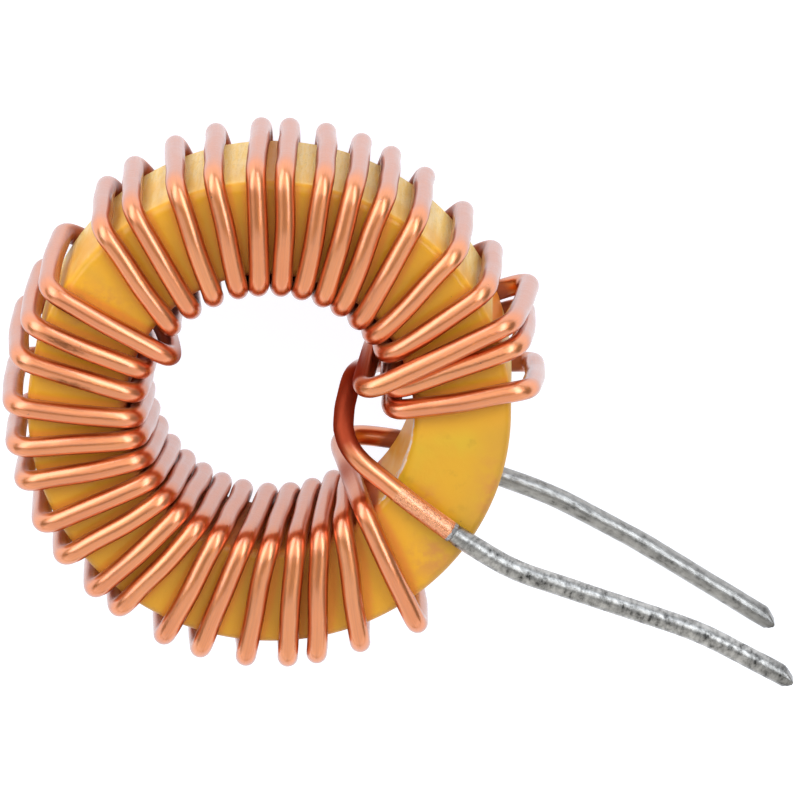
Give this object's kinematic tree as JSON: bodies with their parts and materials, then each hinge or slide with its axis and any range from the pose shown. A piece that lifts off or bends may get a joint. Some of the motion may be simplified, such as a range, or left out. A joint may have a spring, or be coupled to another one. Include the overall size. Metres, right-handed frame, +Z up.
{
  "type": "toroidal inductor",
  "caption": "Toroidal inductor: a coated ring core wound by hand with thick enamelled copper wire, whose tinned ends leave side by side.",
  "frame": {"origin": "on the ring's axis, at the height that the strands of its underside rest on", "axes": "+Z up along the ring's axis, +X towards the bare sector and the leads, +Y across"},
  "size_m": [0.0391, 0.027, 0.0108],
  "materials": {
    "core_coating": "glossy yellow epoxy coating over pressed iron powder",
    "enamelled_copper": "copper wire under clear glossy enamel",
    "tin": "dip-tinned, grey and slightly uneven"
  },
  "bodies": {
    "root": {"core": "core_coating", "winding": "enamelled_copper", "upper_lead_tin": "tin", "lower_lead_tin": "tin"}
  },
  "joints": []
}
